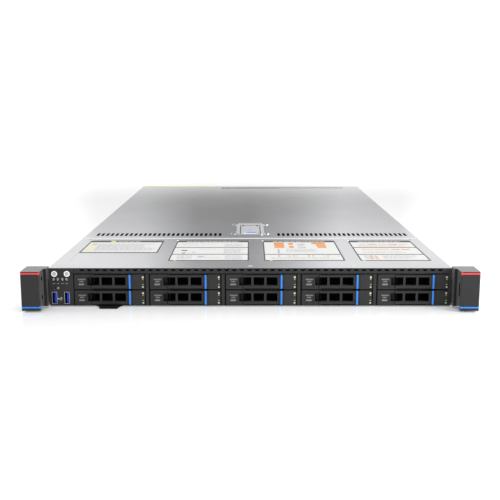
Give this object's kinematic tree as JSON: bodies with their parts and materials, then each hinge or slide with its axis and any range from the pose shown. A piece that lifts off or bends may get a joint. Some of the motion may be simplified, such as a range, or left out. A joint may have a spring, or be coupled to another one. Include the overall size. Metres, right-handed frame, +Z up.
{
  "type": "rack server",
  "caption": "One-unit rack server with hot-swap drive carriers, sliding lid with latch, rack ears, fans and pull-out power supplies.",
  "frame": {"origin": "centre of the bounding box in X and Y, on the underside of the chassis", "axes": "+X to the right seen from the front, +Y to the back along the chassis, +Z up"},
  "size_m": [0.4826, 0.8446, 0.0439],
  "materials": {
    "steel": "galvanised sheet steel",
    "cover_steel": "satin galvanised cover sheet",
    "latch_steel": "pressed satin steel",
    "screw_steel": "zinc-plated screws",
    "ear_plastic": "dark grey moulded plastic",
    "dark_steel": "black powder coat",
    "carrier_plastic": "dark grey moulded plastic",
    "black_plastic": "black plastic",
    "white_plastic": "white translucent plastic",
    "fan_plastic": "black plastic",
    "circuit_board": "green solder mask",
    "aluminium": "bare aluminium fins",
    "release_plastic": "blue touch-point plastic"
  },
  "bodies": {
    "chassis": {"chassis_tray": "steel", "front_cover": "cover_steel", "left_ear": "ear_plastic", "right_ear": "ear_plastic", "captive_screws": "screw_steel", "drive_cage": "dark_steel", "control_panel": "dark_steel", "drive_backplane": "circuit_board", "fan_frames": "fan_plastic", "mainboard": "circuit_board", "memory_modules": "circuit_board", "heatsinks": "aluminium", "rear_panel": "steel"},
    "rear_cover": {"rear_cover": "cover_steel", "cover_latch_frame": "latch_steel"},
    "cover_latch": {"cover_latch_lever": "latch_steel"},
    "information_tab": {"information_tab": "black_plastic"},
    "power_button": {"power_button": "white_plastic"},
    "locator_button": {"locator_button": "white_plastic"},
    "drive_carrier_01": {"drive_carrier_01": "carrier_plastic"},
    "carrier_lever_01": {"carrier_lever_01": "carrier_plastic"},
    "carrier_button_01": {"carrier_button_01": "carrier_plastic"},
    "drive_carrier_02": {"drive_carrier_02": "carrier_plastic"},
    "carrier_lever_02": {"carrier_lever_02": "carrier_plastic"},
    "carrier_button_02": {"carrier_button_02": "carrier_plastic"},
    "drive_carrier_03": {"drive_carrier_03": "carrier_plastic"},
    "carrier_lever_03": {"carrier_lever_03": "carrier_plastic"},
    "carrier_button_03": {"carrier_button_03": "carrier_plastic"},
    "drive_carrier_04": {"drive_carrier_04": "carrier_plastic"},
    "carrier_lever_04": {"carrier_lever_04": "carrier_plastic"},
    "carrier_button_04": {"carrier_button_04": "carrier_plastic"},
    "drive_carrier_05": {"drive_carrier_05": "carrier_plastic"},
    "carrier_lever_05": {"carrier_lever_05": "carrier_plastic"},
    "carrier_button_05": {"carrier_button_05": "carrier_plastic"},
    "drive_carrier_06": {"drive_carrier_06": "carrier_plastic"},
    "carrier_lever_06": {"carrier_lever_06": "carrier_plastic"},
    "carrier_button_06": {"carrier_button_06": "carrier_plastic"},
    "drive_carrier_07": {"drive_carrier_07": "carrier_plastic"},
    "carrier_lever_07": {"carrier_lever_07": "carrier_plastic"},
    "carrier_button_07": {"carrier_button_07": "carrier_plastic"},
    "drive_carrier_08": {"drive_carrier_08": "carrier_plastic"},
    "carrier_lever_08": {"carrier_lever_08": "carrier_plastic"},
    "carrier_button_08": {"carrier_button_08": "carrier_plastic"},
    "drive_carrier_09": {"drive_carrier_09": "carrier_plastic"},
    "carrier_lever_09": {"carrier_lever_09": "carrier_plastic"},
    "carrier_button_09": {"carrier_button_09": "carrier_plastic"},
    "drive_carrier_10": {"drive_carrier_10": "carrier_plastic"},
    "carrier_lever_10": {"carrier_lever_10": "carrier_plastic"},
    "carrier_button_10": {"carrier_button_10": "carrier_plastic"},
    "fan_rotor_1": {"fan_rotor_1": "fan_plastic"},
    "fan_rotor_2": {"fan_rotor_2": "fan_plastic"},
    "fan_rotor_3": {"fan_rotor_3": "fan_plastic"},
    "fan_rotor_4": {"fan_rotor_4": "fan_plastic"},
    "fan_rotor_5": {"fan_rotor_5": "fan_plastic"},
    "fan_rotor_6": {"fan_rotor_6": "fan_plastic"},
    "fan_rotor_7": {"fan_rotor_7": "fan_plastic"},
    "power_supply_1": {"power_supply_1": "steel"},
    "power_supply_latch_1": {"power_supply_latch_1": "release_plastic"},
    "power_supply_2": {"power_supply_2": "steel"},
    "power_supply_latch_2": {"power_supply_latch_2": "release_plastic"}
  },
  "joints": [
    {"name": "cover_latch_hinge", "type": "hinge", "parent": "rear_cover", "child": "cover_latch", "pos_m": [0, -0.0972, 0.0402], "axis": [-1, 0, 0], "range_deg": [0, 80]},
    {"name": "rear_cover_slide", "type": "slide", "parent": "chassis", "child": "rear_cover", "axis": [0, 1, 0], "range_m": [0, 0.012]},
    {"name": "information_tab_slide", "type": "slide", "parent": "chassis", "child": "information_tab", "axis": [0, -1, 0], "range_m": [0, 0.05]},
    {"name": "power_button_press", "type": "slide", "parent": "chassis", "child": "power_button", "axis": [0, 1, 0], "range_m": [0, 0.001], "stiffness_N_per_m": 600},
    {"name": "locator_button_press", "type": "slide", "parent": "chassis", "child": "locator_button", "axis": [0, 1, 0], "range_m": [0, 0.001], "stiffness_N_per_m": 600},
    {"name": "drive_carrier_01_slide", "type": "slide", "parent": "chassis", "child": "drive_carrier_01", "axis": [0, -1, 0], "range_m": [0, 0.13]},
    {"name": "carrier_lever_01_hinge", "type": "hinge", "parent": "drive_carrier_01", "child": "carrier_lever_01", "pos_m": [-0.17, -0.3977, 0.0099], "axis": [0, 0, -1], "range_deg": [0, 45]},
    {"name": "carrier_button_01_press", "type": "slide", "parent": "drive_carrier_01", "child": "carrier_button_01", "axis": [0, 1, 0], "range_m": [0, 0.0014], "stiffness_N_per_m": 500},
    {"name": "drive_carrier_02_slide", "type": "slide", "parent": "chassis", "child": "drive_carrier_02", "axis": [0, -1, 0], "range_m": [0, 0.13]},
    {"name": "carrier_lever_02_hinge", "type": "hinge", "parent": "drive_carrier_02", "child": "carrier_lever_02", "pos_m": [-0.0882, -0.3977, 0.0099], "axis": [0, 0, -1], "range_deg": [0, 45]},
    {"name": "carrier_button_02_press", "type": "slide", "parent": "drive_carrier_02", "child": "carrier_button_02", "axis": [0, 1, 0], "range_m": [0, 0.0014], "stiffness_N_per_m": 500},
    {"name": "drive_carrier_03_slide", "type": "slide", "parent": "chassis", "child": "drive_carrier_03", "axis": [0, -1, 0], "range_m": [0, 0.13]},
    {"name": "carrier_lever_03_hinge", "type": "hinge", "parent": "drive_carrier_03", "child": "carrier_lever_03", "pos_m": [-0.0064, -0.3977, 0.0099], "axis": [0, 0, -1], "range_deg": [0, 45]},
    {"name": "carrier_button_03_press", "type": "slide", "parent": "drive_carrier_03", "child": "carrier_button_03", "axis": [0, 1, 0], "range_m": [0, 0.0014], "stiffness_N_per_m": 500},
    {"name": "drive_carrier_04_slide", "type": "slide", "parent": "chassis", "child": "drive_carrier_04", "axis": [0, -1, 0], "range_m": [0, 0.13]},
    {"name": "carrier_lever_04_hinge", "type": "hinge", "parent": "drive_carrier_04", "child": "carrier_lever_04", "pos_m": [0.0754, -0.3977, 0.0099], "axis": [0, 0, -1], "range_deg": [0, 45]},
    {"name": "carrier_button_04_press", "type": "slide", "parent": "drive_carrier_04", "child": "carrier_button_04", "axis": [0, 1, 0], "range_m": [0, 0.0014], "stiffness_N_per_m": 500},
    {"name": "drive_carrier_05_slide", "type": "slide", "parent": "chassis", "child": "drive_carrier_05", "axis": [0, -1, 0], "range_m": [0, 0.13]},
    {"name": "carrier_lever_05_hinge", "type": "hinge", "parent": "drive_carrier_05", "child": "carrier_lever_05", "pos_m": [0.1572, -0.3977, 0.0099], "axis": [0, 0, -1], "range_deg": [0, 45]},
    {"name": "carrier_button_05_press", "type": "slide", "parent": "drive_carrier_05", "child": "carrier_button_05", "axis": [0, 1, 0], "range_m": [0, 0.0014], "stiffness_N_per_m": 500},
    {"name": "drive_carrier_06_slide", "type": "slide", "parent": "chassis", "child": "drive_carrier_06", "axis": [0, -1, 0], "range_m": [0, 0.13]},
    {"name": "carrier_lever_06_hinge", "type": "hinge", "parent": "drive_carrier_06", "child": "carrier_lever_06", "pos_m": [-0.17, -0.3977, 0.0275], "axis": [0, 0, -1], "range_deg": [0, 45]},
    {"name": "carrier_button_06_press", "type": "slide", "parent": "drive_carrier_06", "child": "carrier_button_06", "axis": [0, 1, 0], "range_m": [0, 0.0014], "stiffness_N_per_m": 500},
    {"name": "drive_carrier_07_slide", "type": "slide", "parent": "chassis", "child": "drive_carrier_07", "axis": [0, -1, 0], "range_m": [0, 0.13]},
    {"name": "carrier_lever_07_hinge", "type": "hinge", "parent": "drive_carrier_07", "child": "carrier_lever_07", "pos_m": [-0.0882, -0.3977, 0.0275], "axis": [0, 0, -1], "range_deg": [0, 45]},
    {"name": "carrier_button_07_press", "type": "slide", "parent": "drive_carrier_07", "child": "carrier_button_07", "axis": [0, 1, 0], "range_m": [0, 0.0014], "stiffness_N_per_m": 500},
    {"name": "drive_carrier_08_slide", "type": "slide", "parent": "chassis", "child": "drive_carrier_08", "axis": [0, -1, 0], "range_m": [0, 0.13]},
    {"name": "carrier_lever_08_hinge", "type": "hinge", "parent": "drive_carrier_08", "child": "carrier_lever_08", "pos_m": [-0.0064, -0.3977, 0.0275], "axis": [0, 0, -1], "range_deg": [0, 45]},
    {"name": "carrier_button_08_press", "type": "slide", "parent": "drive_carrier_08", "child": "carrier_button_08", "axis": [0, 1, 0], "range_m": [0, 0.0014], "stiffness_N_per_m": 500},
    {"name": "drive_carrier_09_slide", "type": "slide", "parent": "chassis", "child": "drive_carrier_09", "axis": [0, -1, 0], "range_m": [0, 0.13]},
    {"name": "carrier_lever_09_hinge", "type": "hinge", "parent": "drive_carrier_09", "child": "carrier_lever_09", "pos_m": [0.0754, -0.3977, 0.0275], "axis": [0, 0, -1], "range_deg": [0, 45]},
    {"name": "carrier_button_09_press", "type": "slide", "parent": "drive_carrier_09", "child": "carrier_button_09", "axis": [0, 1, 0], "range_m": [0, 0.0014], "stiffness_N_per_m": 500},
    {"name": "drive_carrier_10_slide", "type": "slide", "parent": "chassis", "child": "drive_carrier_10", "axis": [0, -1, 0], "range_m": [0, 0.13]},
    {"name": "carrier_lever_10_hinge", "type": "hinge", "parent": "drive_carrier_10", "child": "carrier_lever_10", "pos_m": [0.1572, -0.3977, 0.0275], "axis": [0, 0, -1], "range_deg": [0, 45]},
    {"name": "carrier_button_10_press", "type": "slide", "parent": "drive_carrier_10", "child": "carrier_button_10", "axis": [0, 1, 0], "range_m": [0, 0.0014], "stiffness_N_per_m": 500},
    {"name": "fan_rotor_1_spin", "type": "hinge", "parent": "chassis", "child": "fan_rotor_1", "pos_m": [-0.174, -0.2547, 0.0214], "axis": [0, 1, 0], "continuous": true},
    {"name": "fan_rotor_2_spin", "type": "hinge", "parent": "chassis", "child": "fan_rotor_2", "pos_m": [-0.116, -0.2547, 0.0214], "axis": [0, 1, 0], "continuous": true},
    {"name": "fan_rotor_3_spin", "type": "hinge", "parent": "chassis", "child": "fan_rotor_3", "pos_m": [-0.058, -0.2547, 0.0214], "axis": [0, 1, 0], "continuous": true},
    {"name": "fan_rotor_4_spin", "type": "hinge", "parent": "chassis", "child": "fan_rotor_4", "pos_m": [0, -0.2547, 0.0214], "axis": [0, 1, 0], "continuous": true},
    {"name": "fan_rotor_5_spin", "type": "hinge", "parent": "chassis", "child": "fan_rotor_5", "pos_m": [0.058, -0.2547, 0.0214], "axis": [0, 1, 0], "continuous": true},
    {"name": "fan_rotor_6_spin", "type": "hinge", "parent": "chassis", "child": "fan_rotor_6", "pos_m": [0.116, -0.2547, 0.0214], "axis": [0, 1, 0], "continuous": true},
    {"name": "fan_rotor_7_spin", "type": "hinge", "parent": "chassis", "child": "fan_rotor_7", "pos_m": [0.174, -0.2547, 0.0214], "axis": [0, 1, 0], "continuous": true},
    {"name": "power_supply_1_slide", "type": "slide", "parent": "chassis", "child": "power_supply_1", "axis": [0, 1, 0], "range_m": [0, 0.17]},
    {"name": "power_supply_latch_1_press", "type": "slide", "parent": "power_supply_1", "child": "power_supply_latch_1", "axis": [1, 0, 0], "range_m": [0, 0.003], "stiffness_N_per_m": 400},
    {"name": "power_supply_2_slide", "type": "slide", "parent": "chassis", "child": "power_supply_2", "axis": [0, 1, 0], "range_m": [0, 0.17]},
    {"name": "power_supply_latch_2_press", "type": "slide", "parent": "power_supply_2", "child": "power_supply_latch_2", "axis": [1, 0, 0], "range_m": [0, 0.003], "stiffness_N_per_m": 400}
  ],
  "couplings": [
    {"joint": "cover_latch_hinge", "follows": "rear_cover_slide", "rad_per_m": 115.77}
  ]
}
